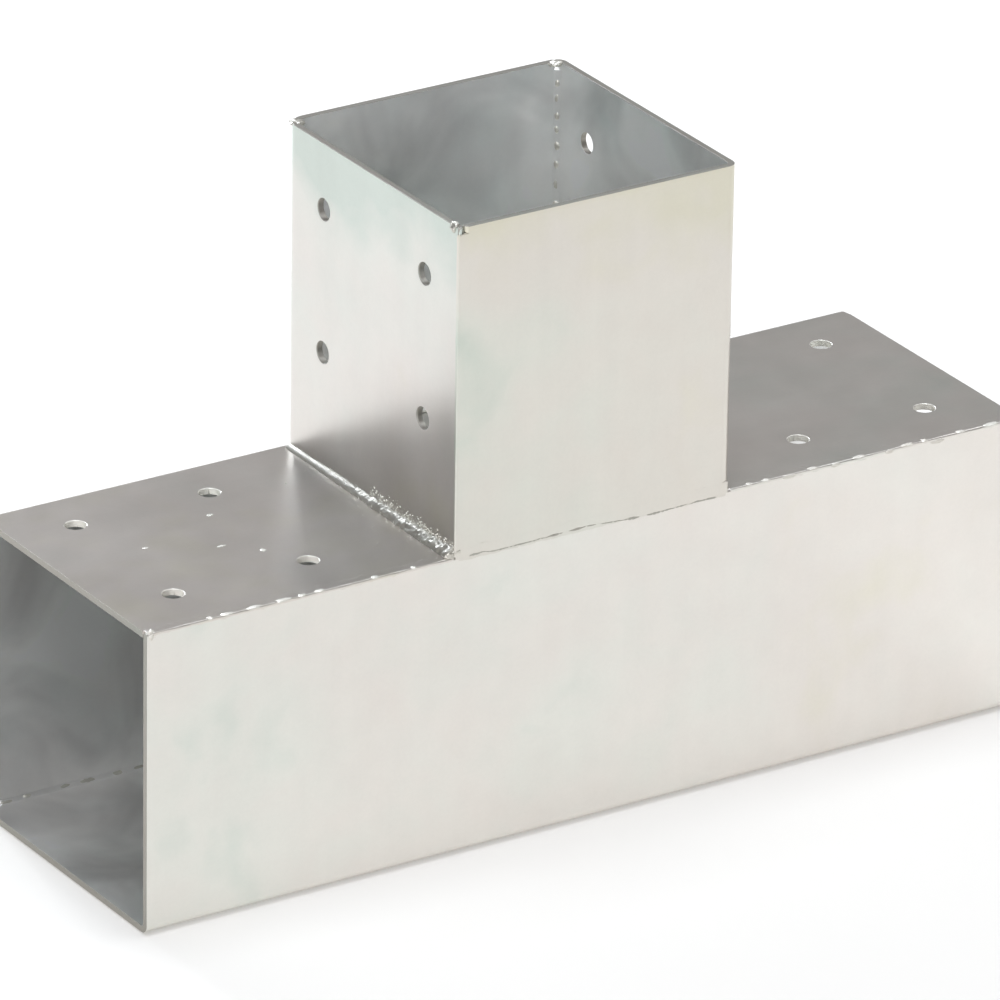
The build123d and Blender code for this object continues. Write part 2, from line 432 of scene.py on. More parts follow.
def close_tree(tree, geometry, material):
    """Ends a tree in plain, smooth mesh of one material."""
    last = geometry
    for kind in ("GeometryNodeRealizeInstances", "GeometryNodeSetShadeSmooth", "GeometryNodeSetMaterial"):
        node = tree.nodes.new(kind)
        tree.links.new(last, node.inputs["Geometry"])
        last = node.outputs["Geometry"]
    tree.links.new(material, node.inputs["Material"])
    tree.links.new(last, tree.nodes.new("NodeGroupOutput").inputs["Geometry"])


def mix_vector(tree, *parts):
    """A vector of three numbers or sockets."""
    node = tree.nodes.new("ShaderNodeCombineXYZ")
    feed(tree, node.inputs, parts)
    return node.outputs[0]


def split_vector(tree, vector):
    """The three parts of a vector."""
    node = tree.nodes.new("ShaderNodeSeparateXYZ")
    tree.links.new(vector, node.inputs[0])
    return node.outputs


def remember(tree, geometry, value, kind):
    """Captures a value on the points; gives back the geometry and the remembered value."""
    node = tree.nodes.new("GeometryNodeCaptureAttribute")
    node.capture_items.new(kind, "value")
    tree.links.new(geometry, node.inputs["Geometry"])
    tree.links.new(value, node.inputs[1])
    return node.outputs["Geometry"], node.outputs[1]


def swept_strip(tree, run, profile):
    """Sweeps a profile along X; gives the mesh, its way along X, and the profile's points and shares."""
    line = tree.nodes.new("GeometryNodeCurvePrimitiveLine")
    tree.links.new(mix_vector(tree, run, 0.0, 0.0), line.inputs["End"])
    cut = tree.nodes.new("GeometryNodeResampleCurve")
    tree.links.new(line.outputs["Curve"], cut.inputs["Curve"])
    tree.links.new(calc(tree, "DIVIDE", run, seam_step), cut.inputs["Count"])
    factor = tree.nodes.new("GeometryNodeSplineParameter").outputs["Factor"]
    point = tree.nodes.new("GeometryNodeInputPosition").outputs["Position"]
    rail, along = remember(tree, cut.outputs["Curve"], factor, "FLOAT")
    section, spot = remember(tree, profile, point, "VECTOR")
    section, across = remember(tree, section, factor, "FLOAT")
    sweep = tree.nodes.new("GeometryNodeCurveToMesh")
    sweep.inputs["Fill Caps"].default_value = True
    tree.links.new(rail, sweep.inputs["Curve"])
    tree.links.new(section, sweep.inputs["Profile Curve"])
    return sweep.outputs["Mesh"], calc(tree, "MULTIPLY", along, run), spot, across


def placed(tree, geometry, label, vector):
    """Sets the Position of a geometry's points, or moves them by an Offset."""
    node = tree.nodes.new("GeometryNodeSetPosition")
    tree.links.new(geometry, node.inputs["Geometry"])
    tree.links.new(vector, node.inputs[label])
    return node.outputs["Geometry"]


def along_normal(tree, distance):
    """A distance along the surface's normal, as a vector."""
    normal = tree.nodes.new("GeometryNodeInputNormal").outputs["Normal"]
    return vector_calc(tree, "SCALE", normal, distance)


def seeded(tree, vector, seed, scale, detail):
    """Noise over a vector, different for every seed, from about -1 to 1."""
    node = tree.nodes.new("ShaderNodeTexNoise")
    node.noise_dimensions = "4D"
    sockets = [node.inputs[label] for label in ("Vector", "W", "Scale", "Detail")]
    feed(tree, sockets, (vector, calc(tree, "MULTIPLY", seed, 3.71), scale, detail))
    return calc(tree, "MULTIPLY", calc(tree, "SUBTRACT", node.outputs["Fac"], 0.5), 4.0)


def ground_seam_tree():
    """A thin skin over a corner, whose borders and ends dip under the sheets. The last border wanders."""
    tree, given = geometry_tree(
        "ground_seam", "Length", "First Reach", "Last Reach", "Radius", "Wander", "Lift", "Proud", "Pits")
    line = tree.nodes.new("GeometryNodeCurvePrimitiveLine")
    line.inputs["End"].default_value = (0.0, 1.0, 0.0)
    fine = tree.nodes.new("GeometryNodeResampleCurve")
    fine.inputs["Count"].default_value = 26
    tree.links.new(line.outputs["Curve"], fine.inputs["Curve"])
    strip, along, _, across = swept_strip(tree, given["Length"], fine.outputs["Curve"])

    line_place = mix_vector(tree, along, 0.0, 0.0)
    drift = calc(tree, "MULTIPLY", seeded(tree, line_place, given["Seed"], 210.0, 3.0), given["Wander"])
    reach = calc(tree, "ADD", given["First Reach"], given["Last Reach"], drift)
    walk = calc(tree, "SUBTRACT", calc(tree, "MULTIPLY", across, reach), given["First Reach"])
    first = calc(tree, "MAXIMUM", calc(tree, "MULTIPLY", walk, -1.0), 0.0)
    last = calc(tree, "MAXIMUM", walk, 0.0)
    wear = seeded(tree, line_place, calc(tree, "ADD", given["Seed"], 0.5), 120.0, 3.0)
    radius = calc(tree, "ADD", given["Radius"], calc(tree, "MULTIPLY", wear, given["Wander"]))
    radius = calc(tree, "MAXIMUM", radius, 0.00001)
    first_left = calc(tree, "MAXIMUM", calc(tree, "SUBTRACT", radius, first), 0.0)
    last_left = calc(tree, "MAXIMUM", calc(tree, "SUBTRACT", radius, last), 0.0)
    square = calc(tree, "ADD", *(calc(tree, "MULTIPLY", left, left) for left in (first_left, last_left)))
    distance = calc(tree, "MAXIMUM", calc(tree, "SQRT", square), radius)
    inset = calc(tree, "SUBTRACT", 1.0, calc(tree, "DIVIDE", radius, distance))
    depth_first = calc(tree, "ADD", first, calc(tree, "MULTIPLY", first_left, inset))
    depth_last = calc(tree, "ADD", last, calc(tree, "MULTIPLY", last_left, inset))
    base = mix_vector(tree, along, depth_last, calc(tree, "MULTIPLY", depth_first, -1.0))
    flip = tree.nodes.new("GeometryNodeFlipFaces")
    tree.links.new(placed(tree, strip, "Position", base), flip.inputs["Mesh"])

    middle = calc(tree, "MULTIPLY", across, calc(tree, "SUBTRACT", 1.0, across), 4.0)
    over_middle = calc(tree, "SUBTRACT", calc(tree, "MULTIPLY", middle, 2.2), 0.5)
    from_end = calc(tree, "MINIMUM", along, calc(tree, "SUBTRACT", given["Length"], along))
    over_end = calc(tree, "SUBTRACT", calc(tree, "DIVIDE", from_end, 0.0006), 1.5)
    hump = calc(tree, "MULTIPLY", given["Lift"], calc(tree, "MINIMUM", over_middle, 1.0, over_end))
    uneven = seeded(tree, base, given["Seed"], 330.0, 3.0)
    rise = calc(tree, "ADD", hump, calc(tree, "MULTIPLY", given["Proud"], uneven, 0.5))
    pitted = calc(tree, "SUBTRACT", seeded(tree, base, given["Seed"], 900.0, 2.0), 0.55)
    holes = calc(tree, "MULTIPLY", calc(tree, "MAXIMUM", pitted, 0.0), given["Pits"])
    lift = along_normal(tree, calc(tree, "SUBTRACT", rise, holes))
    close_tree(tree, placed(tree, flip.outputs["Mesh"], "Offset", lift), given["Material"])
    return tree


def matrix_of(axes, origin):
    """Turns X, Y and Z to three axes and moves them to an origin."""
    return Matrix.Translation(origin) @ Matrix(axes).transposed().to_4x4()


def grown(tree, name, values, axes, origin, skin=0.0):
    """Runs a tree on an empty piece and gives its plain mesh, turned to the axes and moved to the origin."""
    seedling = bpy.data.objects.new(name, bpy.data.meshes.new(name))
    bpy.context.scene.collection.objects.link(seedling)
    grow = seedling.modifiers.new("grow", "NODES")
    grow.node_group = tree
    for item in tree.interface.items_tree:
        if item.item_type == "SOCKET" and item.in_out == "INPUT":
            grow[item.identifier] = values[item.name]
    if skin:
        back = seedling.modifiers.new("back", "SOLIDIFY")
        back.thickness = skin
        back.offset = -1.0
        back.use_even_offset = False
    bpy.context.view_layer.update()
    graph = bpy.context.evaluated_depsgraph_get()
    mesh = bpy.data.meshes.new_from_object(seedling.evaluated_get(graph))
    bpy.data.objects.remove(seedling)
    mesh.name = name
    mesh.transform(matrix_of(axes, origin))
    return mesh


def take_weld(tree, name, values, axes, origin, *nodes, skin=0.0):
    """Grows a closed weld with its faces outwards and makes it a piece."""
    mesh = grown(tree, name, values, axes, origin, skin)
    form = bmesh.new()
    form.from_mesh(mesh)
    bmesh.ops.recalc_face_normals(form, faces=form.faces)
    form.to_mesh(mesh)
    form.free()
    take(mesh, name, "zinc_weld", *nodes)


ground_seam = ground_seam_tree()
x_axis, y_axis, z_axis = (1, 0, 0), (0, 1, 0), (0, 0, 1)
seam_size = {
    "First Reach": 0.0012, "Last Reach": 0.0037, "Radius": 0.00045, "Wander": 0.0004,
    "Lift": 0.00005, "Proud": 0.00010, "Pits": 0.00016, "Material": top_zinc,
}
for name, start, seed in (("tube_front_seam_left", -0.1494, 3), ("tube_front_seam_right", 0.0476, 8)):
    take_weld(
        ground_seam, name, {**seam_size, "Length": 0.1018, "Seed": seed}, (x_axis, y_axis, z_axis),
        (start, -half, tube_top), "tube_front_seam_weld", skin=seam_skin)
smooth_seam = {
    **seam_size, "Wander": 0.0001, "Lift": 0.000016, "Proud": 0.000012, "Pits": 0.00003,
    "Material": right_zinc,
}
take_weld(
    ground_seam, "upright_front_seam", {**smooth_seam, "Length": rim - tube_top - 0.0020, "Seed": 5},
    (z_axis, x_axis, (0, -1, 0)), (-half, -half, tube_top), "upright_front_seam_weld", skin=seam_skin)

# Welds at the foot of the upright: fillets along both holed walls, laid towards the front,
# smooth where the torch started and rougher where it slowed at the near corner.
fold_start = 0.0445
fillet_zinc = zinc_material(
    "zinc_on_fillet", tone=(0.522, 0.511, 0.472, 1.0), shift=(1.1, 0.8, 0.5),
    relief=3.0, metal=0.88, dullness=0.16)


def fillet_bead_tree():
    """A fillet whose leg grows along its run, with bowed ripples and a ragged, spiky far end."""
    tree, given = geometry_tree(
        "fillet_bead", "Length", "Back Leg", "Front Leg", "Ripple Pitch", "Ripple Depth", "Ragged", "Hollow")
    quarter = tree.nodes.new("GeometryNodeCurveArc")
    quarter.inputs["Resolution"].default_value = 13
    quarter.inputs["Radius"].default_value = 1.0
    quarter.inputs["Sweep Angle"].default_value = math.pi / 2
    quarter.inputs["Connect Center"].default_value = True
    strip, along, spot, _ = swept_strip(tree, given["Length"], quarter.outputs["Curve"])
    share = calc(tree, "DIVIDE", along, given["Length"])
    hollow = calc(tree, "SUBTRACT", given["Hollow"], calc(tree, "MULTIPLY", share, 0.15))
    quarter_place = [calc(tree, "MAXIMUM", part, 0.0) for part in split_vector(tree, spot)[:2]]
    foot, wall = (calc(tree, "POWER", part, hollow) for part in quarter_place)

    line_place = mix_vector(tree, along, 0.0, 0.0)
    growth = calc(tree, "MULTIPLY", calc(tree, "SUBTRACT", given["Front Leg"], given["Back Leg"]), share)
    unsteady = calc(tree, "MULTIPLY", seeded(tree, line_place, given["Seed"], 90.0, 2.0), 0.10)
    leg = calc(tree, "ADD", given["Back Leg"], growth)
    leg = calc(tree, "MULTIPLY", leg, calc(tree, "ADD", 1.0, unsteady))
    lean = calc(tree, "SUBTRACT", foot, wall)
    bow = calc(tree, "MULTIPLY", calc(tree, "SUBTRACT", 1.0, calc(tree, "MULTIPLY", lean, lean)), 0.0012)
    wobble = calc(tree, "MULTIPLY", seeded(tree, line_place, given["Seed"], 160.0, 1.0), 0.0004)
    phase = calc(tree, "DIVIDE", calc(tree, "ADD", along, bow, wobble), given["Ripple Pitch"])
    crest = calc(tree, "ABSOLUTE", calc(tree, "SINE", calc(tree, "MULTIPLY", phase, math.pi)))
    towards_end, towards_wall = calc(tree, "ADD", 0.15, share), calc(tree, "ADD", 0.25, wall)
    ripple = calc(tree, "MULTIPLY", crest, given["Ripple Depth"], towards_end, towards_wall)

    stretched = vector_calc(tree, "MULTIPLY", mix_vector(tree, along, foot, wall), (1.0, 0.003, 0.003))
    coarse = seeded(tree, stretched, given["Seed"], 500.0, 3.0)
    ragged = calc(tree, "MULTIPLY", coarse, given["Ragged"], calc(tree, "POWER", share, 1.7))
    start_round = calc(tree, "MINIMUM", calc(tree, "DIVIDE", calc(tree, "ADD", along, 0.0002), leg), 1.0)
    size = calc(tree, "ADD", leg, ripple, ragged)
    size = calc(tree, "MULTIPLY", size, calc(tree, "POWER", start_round, 0.5))
    spikes = calc(tree, "MAXIMUM", seeded(tree, line_place, given["Seed"], 1000.0, 2.0), 0.0)
    powers = [calc(tree, "POWER", term, power) for term, power in ((spikes, 2.0), (share, 2.0), (wall, 4.0))]
    spiky = calc(tree, "ADD", 1.0, calc(tree, "MULTIPLY", calc(tree, "MULTIPLY", *powers), 0.8))
    outline = mix_vector(
        tree, along, calc(tree, "MULTIPLY", size, foot), calc(tree, "MULTIPLY", size, wall, spiky))
    close_tree(tree, placed(tree, strip, "Position", outline), given["Material"])
    return tree


fillet_bead = fillet_bead_tree()
values = {
    "Length": fold_start + half - 0.0004, "Back Leg": 0.0014, "Front Leg": 0.0028, "Hollow": 1.25,
    "Ripple Pitch": 0.0013, "Ripple Depth": 0.00012, "Ragged": 0.00075, "Seed": 4, "Material": fillet_zinc,
}
take_weld(
    fillet_bead, "left_fillet_bead", values, ((0, -1, 0), (-1, 0, 0), z_axis), (-half, fold_start, tube_top),
    "left_fillet_weld")
values.update({"Length": 2 * fold_start, "Back Leg": 0.0022, "Front Leg": 0.0022, "Seed": 9})
take_weld(
    fillet_bead, "right_fillet_bead", values, (y_axis, x_axis, z_axis), (half, -fold_start, tube_top),
    "right_fillet_weld")

# The weld under the front wall is ground flush with both sheets, and only an uneven crease of its lower toe
# is left, drawn as a dark strip of painted shade on the front face. The one under the back wall fills the
# bend of the tube.
crease_step = 0.00035
crease_front, crease_rear = -half - 0.00009, -half + 0.0002
narrowest_crease = 0.00004
# Dark zinc of the crease: painted shade of the narrow groove left at the weld's toe.
crease_shade_zinc = zinc_material(
    "painted_shade_in_crease", tone=(0.539, 0.528, 0.484, 1.0), shift=(2.1, 0.3, 0.2), relief=1.5)
weld_zinc = zinc_material(
    "zinc_on_weld", tone=(0.679, 0.665, 0.613, 1.0), shift=(1.3, 0.4, 0.2),
    relief=2.0, metal=0.88, dullness=0.08)
values = {
    **smooth_seam, "Length": 0.0935, "First Reach": 0.0001, "Last Reach": 0.0046, "Radius": 0.00001,
    "Proud": 0.00002, "Pits": 0.00005, "Seed": 11,
}
take_weld(
    ground_seam, "front_base_seam", values, (x_axis, z_axis, (0, -1, 0)), (-0.0470, -half, tube_top - 0.0018),
    "front_base_weld", skin=seam_skin)


def crease_mesh(name, route, width, seed):
    """A thin dark line of painted shade along a route on the front face, of changing width, broken where it
    narrows away.
    """
    line = bmesh.new()

    def waver(x, pitch, row):
        return noise.noise(Vector((x * pitch, seed, row)))

    for (x0, z0), (x1, z1) in zip(route, route[1:]):
        count = max(int((x1 - x0) / crease_step), 1)
        for i in range(count):
            x = x0 + (x1 - x0) * i / count
            z = z0 + (z1 - z0) * i / count + 0.00016 * waver(x, 520, 0)
            reach = width * (0.40 + 1.2 * waver(x, 260, 7.0) + 0.6 * waver(x, 1400, 3.0))
            if reach > narrowest_crease:
                left, right = x - crease_step * 0.65, x + crease_step * 0.65
                low, high = z - reach / 2, z + reach / 2
                outline = ((left, low), (right, low), (right, high), (left, high))
                points = [line.verts.new((a, y, b)) for y in (crease_front, crease_rear) for a, b in outline]
                sides = ((0, 1, 2, 3), (7, 6, 5, 4), (0, 4, 5, 1), (1, 5, 6, 2), (2, 6, 7, 3), (3, 7, 4, 0))
                for side in sides:
                    line.faces.new([points[index] for index in side])
    bmesh.ops.recalc_face_normals(line, faces=line.faces)
    mesh = bpy.data.meshes.new(name)
    line.to_mesh(mesh)
    line.free()
    mesh.materials.append(crease_shade_zinc)
    return mesh


crease_route = [
    (-0.0425, 0.0945), (-0.0380, 0.0947), (-0.0340, 0.0941), (-0.0224, 0.0942), (-0.0012, 0.0946),
    (0.0095, 0.0937), (0.0195, 0.0933), (0.0369, 0.0937), (0.0430, 0.0936),
]
crease = crease_mesh("front_base_crease", crease_route, width=0.00060, seed=5.0)
take(crease, "front_base_crease", "zinc_weld", "front_base_weld")
values = {
    **seam_size, "Length": 0.0895, "First Reach": 0.0032, "Last Reach": 0.0014, "Radius": 0.0012,
    "Wander": 0.0003, "Lift": 0.00040, "Proud": 0.00025, "Pits": 0.0001, "Material": weld_zinc, "Seed": 17,
}
take_weld(
    ground_seam, "back_base_bead", values, ((-1, 0, 0), z_axis, y_axis), (0.0465, half, tube_top),
    skin=0.0006)
back_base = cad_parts["back_base_weld"]
back_base.data.materials.clear()
back_base.data.materials.append(weld_zinc)

# The back seams are welded from outside too, and there weld metal has come through the root gap
# and set in a row of drops down the inside corner, longer and fainter in the lying tube.
inner = half - thickness


def balls_on_points(tree, points, subdivisions, size):
    """A ball of its own size on each point."""
    ball = tree.nodes.new("GeometryNodeMeshIcoSphere")
    ball.inputs["Subdivisions"].default_value = subdivisions
    ball.inputs["Radius"].default_value = 1.0
    stand = tree.nodes.new("GeometryNodeInstanceOnPoints")
    sockets = [stand.inputs[label] for label in ("Points", "Instance", "Scale")]
    feed(tree, sockets, (points, ball.outputs["Mesh"], size))
    return stand.outputs["Instances"]


def root_drops_tree():
    """A row of drops along X, each shifted, sized and dented a little differently."""
    tree, given = geometry_tree("root_drops", "Length", "Pitch", "Drop Length", "Drop Height")
    row = tree.nodes.new("GeometryNodeMeshLine")
    tree.links.new(calc(tree, "DIVIDE", given["Length"], given["Pitch"]), row.inputs["Count"])
    tree.links.new(mix_vector(tree, given["Pitch"], 0.0, 0.0), row.inputs["Offset"])

    def random_vector(low, high, offset):
        node = tree.nodes.new("FunctionNodeRandomValue")
        node.data_type = "FLOAT_VECTOR"
        node.inputs[0].default_value = low
        node.inputs[1].default_value = high
        tree.links.new(calc(tree, "ADD", given["Seed"], offset), node.inputs["Seed"])
        return node.outputs[0]

    shift = random_vector((-0.3, -0.02, -0.02), (0.3, 0.02, 0.02), 1.0)
    shift = vector_calc(tree, "SCALE", shift, given["Pitch"])
    points = placed(tree, row.outputs["Mesh"], "Offset", shift)
    drop = mix_vector(tree, given["Drop Length"], given["Drop Height"], given["Drop Height"])
    size = random_vector((0.35, 0.92, 0.92), (0.6, 1.08, 1.08), 2.0)
    size = vector_calc(tree, "MULTIPLY", size, drop)
    real = tree.nodes.new("GeometryNodeRealizeInstances")
    tree.links.new(balls_on_points(tree, points, 3, size), real.inputs["Geometry"])
    place = tree.nodes.new("GeometryNodeInputPosition").outputs["Position"]
    uneven = seeded(tree, place, given["Seed"], 900.0, 1.0)
    dent = along_normal(tree, calc(tree, "MULTIPLY", uneven, 0.00013))
    close_tree(tree, placed(tree, real.outputs["Geometry"], "Offset", dent), given["Material"])
    return tree


root_drops = root_drops_tree()
# The root beads inside take the same lighter inside copy, painted light.
thread = {
    "Ripple Pitch": 0.0050, "Ripple Depth": 0.00008, "Ragged": 0.00002, "Hollow": 2.3,
    "Material": lightened_inside_zinc,
}
values = {**thread, "Length": 0.1010, "Back Leg": 0.0016, "Front Leg": 0.0017, "Seed": 31}
take_weld(
    fillet_bead, "upright_back_root", values, ((0, 0, -1), (-1, 0, 0), (0, -1, 0)),
    (inner, inner, rim - 0.0012), "upright_back_seam_weld")
values = {**thread, "Length": 0.2900, "Back Leg": 0.0012, "Front Leg": 0.0012, "Seed": 33}
take_weld(
    fillet_bead, "tube_back_root", values, (x_axis, (0, -1, 0), z_axis), (-0.1455, inner, thickness),
    "tube_back_seam_weld")
upright_drops = {
    "Length": 0.100, "Pitch": 0.0055, "Drop Length": 0.0046, "Drop Height": 0.0013,
    "Seed": 6, "Material": weld_zinc,
}
tube_drops = {
    "Length": 0.288, "Pitch": 0.0095, "Drop Length": 0.0062, "Drop Height": 0.0009,
    "Seed": 2, "Material": weld_zinc,
}
rows = (
    ("upright_back", upright_drops, (z_axis, x_axis, y_axis), (inner, inner, tube_top + 0.003)),
    ("tube_back", tube_drops, (x_axis, y_axis, z_axis), (-0.1435, inner, thickness)),
)
for side, values, axes, origin in rows:
    mesh = grown(root_drops, side + "_root_drops", values, axes, origin)
    take(mesh, side + "_root_drops", "zinc_weld", side + "_seam_weld")
values = {
    **seam_size, "Length": rim - tube_top - 0.0012, "First Reach": 0.0044, "Last Reach": 0.0044,
    "Radius": back_corner_radius, "Wander": 0.0001, "Proud": 0.00004, "Seed": 14, "Material": weld_zinc,
}
take_weld(
    ground_seam, "upright_back_seam", values, (z_axis, (-1, 0, 0), y_axis), (half, half, tube_top),
    "upright_back_seam_weld", skin=seam_skin)
take_weld(
    ground_seam, "tube_back_seam", {**seam_size, "Length": 0.2988, "Seed": 21, "Material": weld_zinc},
    (x_axis, (0, -1, 0), (0, 0, -1)), (-0.1494, half, 0.0), "tube_back_seam_weld", skin=seam_skin)

# Where each seam starts and ends the weld metal stands in a small lump, left as the torch left it.
# The lumps are of weld metal, plated over, and sit on the corners of the sheets.
frosted_zinc = zinc_material(
    "zinc_on_rough_weld", tone=(0.827, 0.805, 0.746, 1.0), shift=(1.7, 0.1, 0.6), relief=3.0, metal=0.4,
    dullness=0.08)


def lump_mesh(name, lumps, material):
    """Closed uneven lumps, each a place, its three half sizes and a seed."""
    form = bmesh.new()
    for centre, reach, seed in lumps:
        made = bmesh.ops.create_icosphere(form, subdivisions=4, radius=1.0)
        for vertex in made["verts"]:
            direction = vertex.co.copy()
            swell = 1.0
            for axis, pitch, strength in ((0, 1.3, 0.28), (1, 3.7, 0.16), (2, 8.0, 0.16)):
                away = Vector((0, 0, 0))
                away[axis] = seed
                swell += strength * noise.noise(direction * pitch + away)
            vertex.co = Vector((direction[axis] * reach[axis] * swell + centre[axis] for axis in range(3)))
    mesh = bpy.data.meshes.new(name)
    form.to_mesh(mesh)
    form.free()
    for polygon in mesh.polygons:
        polygon.use_smooth = True
    mesh.materials.append(material)
    return mesh


tube_lumps = [
    ((-0.1484, -0.0468, 0.0940), (0.0014, 0.0009, 0.0018), 1.0),
    ((0.1487, -0.0462, 0.0942), (0.0010, 0.0009, 0.0011), 2.0),
    ((-0.1480, 0.0462, 0.0010), (0.0011, 0.0009, 0.0009), 3.0),
    ((0.1482, 0.0462, 0.0010), (0.0010, 0.0009, 0.0009), 4.0),
]
take(lump_mesh("tube_seam_ends", tube_lumps, frosted_zinc), "tube_seam_ends", "zinc_weld")
upright_lumps = [
    ((-0.0468, -0.0443, 0.1967), (0.0012, 0.0018, 0.0016), 5.0),
    ((0.0446, 0.0452, 0.1970), (0.0026, 0.0015, 0.0009), 6.0),
    ((-0.0452, 0.0446, 0.1970), (0.0020, 0.0024, 0.0009), 9.0),
    ((-0.0486, -0.0468, 0.0958), (0.0016, 0.0009, 0.0013), 7.0),
    ((-0.0464, -0.0470, 0.0967), (0.0017, 0.0006, 0.0008), 8.0),
]
take(lump_mesh("upright_seam_ends", upright_lumps, weld_zinc), "upright_seam_ends", "zinc_weld")

# Bright flecks of weld metal that the grinder passed over, along the front top corner of the tube.
# Each is a thin flat lump fast on the seam: the higher ones lie on the top, the others on the front.
lowest_on_top = 0.0946
edge_flecks = [
    (-0.1290, 0.0950, 0.0010), (-0.1232, 0.0949, 0.0022), (-0.1147, 0.0950, 0.0026),
    (-0.1047, 0.0949, 0.0028), (-0.0984, 0.0951, 0.0013), (-0.0926, 0.0949, 0.0016),
    (-0.0740, 0.0948, 0.0012), (-0.0610, 0.0950, 0.0009), (0.0543, 0.0947, 0.0010),
    (0.0600, 0.0949, 0.0016), (0.0680, 0.0944, 0.0024), (0.0765, 0.0949, 0.0015),
    (0.0845, 0.0944, 0.0016), (0.0930, 0.0949, 0.0022), (0.1035, 0.0944, 0.0014),
    (0.1100, 0.0947, 0.0024), (0.1160, 0.0950, 0.0011), (0.1205, 0.0939, 0.0021),
    (0.1290, 0.0949, 0.0018), (0.1400, 0.0947, 0.0030),
]
fleck_lumps = []
for seed, (x, z, reach) in enumerate(edge_flecks, start=20):
    if z > lowest_on_top:
        fleck_lumps.append(((x, -0.0470, tube_top - 0.0001), (reach, 0.0009, 0.0003), float(seed)))
    else:
        fleck_lumps.append(((x, -half, z), (reach, 0.00025, 0.0006), float(seed)))
take(lump_mesh("front_edge_flecks", fleck_lumps, frosted_zinc), "front_edge_flecks", "zinc_weld")

# Raised scuffs on the top of the tube's left arm: zinc pushed up by other steel in handling.
# They are low lumps of the plating itself, brighter than the sheet around them.
scuffs = [
    ((-0.0925, 0.0138, tube_top), (0.0012, 0.0006, 0.00009), 41.0),
    ((-0.1204, 0.0035, tube_top), (0.0009, 0.0005, 0.00009), 42.0),
    ((-0.0919, -0.0149, tube_top), (0.0008, 0.0010, 0.00010), 43.0),
    ((-0.1009, -0.0064, tube_top), (0.0015, 0.0005, 0.00008), 44.0),
]
take(lump_mesh("tube_scuffs", scuffs, frosted_zinc), "tube_scuffs", "zinc_sheet")

# Spatter: beads of weld metal thrown by the torch, stuck to the left wall close above the rougher
# half of its fillet and, fewer and wider apart, to the arm beside it, and plated over with the rest.


def spatter_tree():
    """Beads over a patch in X and Y, crowded at its lower border and none at its upper one."""
    tree, given = geometry_tree("spatter", "Width", "Height", "Density", "Bead")
    patch = tree.nodes.new("GeometryNodeMeshGrid")
    sockets = [patch.inputs[label] for label in ("Size X", "Size Y", "Vertices X", "Vertices Y")]
    feed(tree, sockets, (given["Width"], given["Height"], 30, 12))
    place = tree.nodes.new("GeometryNodeInputPosition").outputs["Position"]
    climb = calc(tree, "ADD", calc(tree, "DIVIDE", split_vector(tree, place)[1], given["Height"]), 0.5)
    fade = calc(tree, "POWER", calc(tree, "SUBTRACT", 1.0, calc(tree, "MINIMUM", climb, 1.0)), 3.0)
    scatter = tree.nodes.new("GeometryNodeDistributePointsOnFaces")
    tree.links.new(patch.outputs["Mesh"], scatter.inputs["Mesh"])
    tree.links.new(calc(tree, "MULTIPLY", given["Density"], fade), scatter.inputs["Density"])
    tree.links.new(given["Seed"], scatter.inputs["Seed"])
    chance = tree.nodes.new("FunctionNodeRandomValue")
    tree.links.new(given["Seed"], chance.inputs["Seed"])
    few_large = calc(tree, "ADD", 0.35, calc(tree, "POWER", chance.outputs[1], 3.0))
    bead = calc(tree, "MULTIPLY", given["Bead"], few_large)
    size = mix_vector(tree, bead, bead, calc(tree, "MULTIPLY", bead, 0.7))
    close_tree(tree, balls_on_points(tree, scatter.outputs["Points"], 2, size), given["Material"])
    return tree


spatter = spatter_tree()
values = {
    "Width": 0.046, "Height": 0.0050, "Density": 6400000.0, "Bead": 0.00027, "Seed": 3,
    "Material": frosted_zinc,
}
mesh = grown(
    spatter, "wall_spatter", values, ((0, -1, 0), z_axis, (-1, 0, 0)), (-half, -0.0240, tube_top + 0.0046))
take(mesh, "wall_spatter", "zinc_weld")
values.update({"Width": 0.080, "Height": 0.016, "Density": 100000.0, "Seed": 12})
mesh = grown(spatter, "tube_spatter", values, (y_axis, (-1, 0, 0), z_axis), (-half - 0.0105, 0.0, tube_top))
take(mesh, "tube_spatter", "zinc_weld")

# Studio: a pale floor that the lamps light to white, dim walls that are darkest low at the back left,
# and large soft lamps overhead, at both sides, behind and in front on the left.
floor_reach, floor_level, floor_lift = 3.0, -0.0005, 0.30
wall_level, corner_level = 0.290, 0.023
low_back_left = (-0.484, 0.766, 0.423)
floor_mesh = bpy.data.meshes.new("floor")
corners = [(x * floor_reach, y * floor_reach, 0) for x, y in ((-1, -1), (1, -1), (1, 1), (-1, 1))]
floor_mesh.from_pydata(corners, [], [(0, 1, 2, 3)])
floor = bpy.data.objects.new("floor", floor_mesh)
bpy.context.scene.collection.objects.link(floor)
floor.location.z = floor_level
paper = bpy.data.materials.new("studio_paper")
paper.use_nodes = True
nodes, links = paper.node_tree.nodes, paper.node_tree.links
nodes.clear()
out = nodes.new("ShaderNodeOutputMaterial")
matte = nodes.new("ShaderNodeBsdfDiffuse")
matte.inputs["Color"].default_value = (0.620, 0.600, 0.571, 1)
glow = nodes.new("ShaderNodeEmission")
both = nodes.new("ShaderNodeAddShader")
path = nodes.new("ShaderNodeLightPath").outputs
shown = calc(
    paper.node_tree, "MAXIMUM", path["Is Camera Ray"], path["Is Glossy Ray"], path["Is Transmission Ray"])
links.new(calc(paper.node_tree, "MULTIPLY", shown, floor_lift), glow.inputs["Strength"])
links.new(matte.outputs[0], both.inputs[0])
links.new(glow.outputs[0], both.inputs[1])
links.new(both.outputs[0], out.inputs["Surface"])
floor_mesh.materials.append(paper)

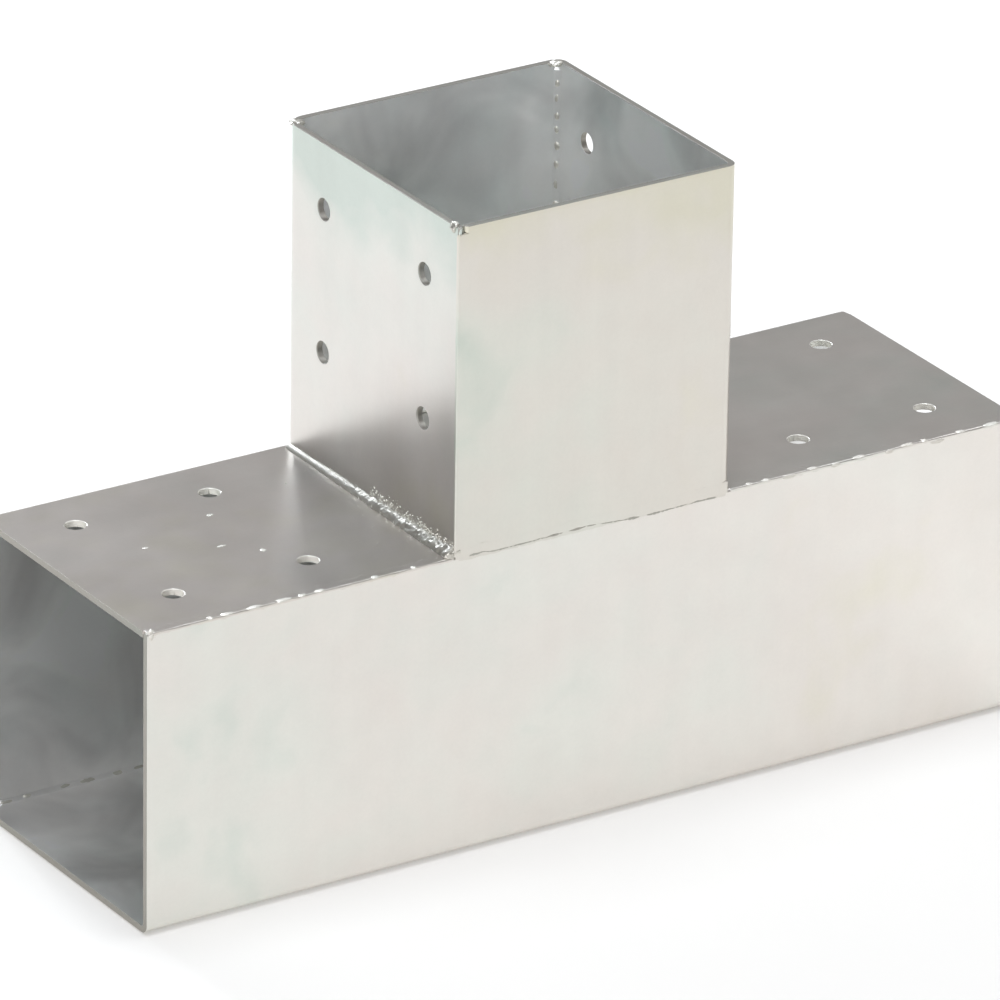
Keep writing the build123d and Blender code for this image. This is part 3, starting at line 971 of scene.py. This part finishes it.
world = bpy.data.worlds.new("studio")
bpy.context.scene.world = world
world.use_nodes = True
nodes, links = world.node_tree.nodes, world.node_tree.links
nodes.clear()
out = nodes.new("ShaderNodeOutputWorld")
background = nodes.new("ShaderNodeBackground")
way = nodes.new("ShaderNodeTexCoord").outputs["Generated"]
towards_corner = vector_calc(world.node_tree, "DOT_PRODUCT", way, low_back_left)
level = spread(world.node_tree, towards_corner, (0.78, 0.96), (wall_level, corner_level))
shade = nodes.new("ShaderNodeCombineColor")
for socket, share in zip(shade.inputs, (1.0, 0.955, 0.938)):
    links.new(calc(world.node_tree, "MULTIPLY", level, share), socket)
links.new(shade.outputs["Color"], background.inputs["Color"])
links.new(background.outputs[0], out.inputs["Surface"])

lit_point = Vector((0, 0, 0.1))
lamps = (
    ("overhead", (0, 0, 2.4), (1.2, 1.2), 32.6, (0.835, 0.919, 1.0)),
    ("left", (-1.5, 0, 1.9), (1.0, 1.0), 3.5, (0.928, 0.948, 1.0)),
    ("right", (1.5, 0, 1.9), (1.0, 1.0), 6.8, (0.928, 0.948, 1.0)),
    ("back", (0, 1.5, 1.9), (1.0, 1.0), 1.9, (0.928, 0.948, 1.0)),
    ("behind", (0, 2.2, 1.1), (0.5, 0.6), 45.0, (0.86, 0.92, 1.0)),
    ("front_left_low", (-1.7, -1.7, 0.8), (0.8, 0.8), 14.6, (0.928, 0.948, 1.0)),
    ("front_left", (-1.0, -1.0, 2.0), (0.8, 0.8), 12.3, (0.928, 0.948, 1.0)),
)
for name, place, size, power, color in lamps:
    light = bpy.data.lights.new(name, "AREA")
    light.shape = "RECTANGLE"
    light.size, light.size_y = size
    light.energy = power
    light.color = color
    lamp = bpy.data.objects.new(name, light)
    bpy.context.scene.collection.objects.link(lamp)
    lamp.location = place
    lamp.rotation_euler = (lit_point - Vector(place)).to_track_quat("-Z", "Y").to_euler()

# Camera with a long lens, about 3.2 m from the connector, in front of it, to the left and above.
# Its place, turn and roll were fitted to the straight edges in the photograph.
azimuth, elevation, roll = math.radians(-32.698), math.radians(24.209), math.radians(0.902)
camera_place = Vector((-1.5885, -2.4718, 1.4050))
camera_data = bpy.data.cameras.new("camera")
camera = bpy.data.objects.new("camera", camera_data)
bpy.context.scene.collection.objects.link(camera)
bpy.context.scene.camera = camera
camera_data.sensor_width = 36.0
camera_data.lens = 396.0
camera_data.clip_end = 50.0
back = Vector((
    math.sin(azimuth) * math.cos(elevation), -math.cos(azimuth) * math.cos(elevation), math.sin(elevation)))
right = Vector((0, 0, 1)).cross(back).normalized()
turn = Matrix.Rotation(roll, 3, back)
camera.matrix_world = matrix_of((turn @ right, turn @ back.cross(right), back), camera_place)
bpy.context.scene.view_settings.view_transform = "Standard"
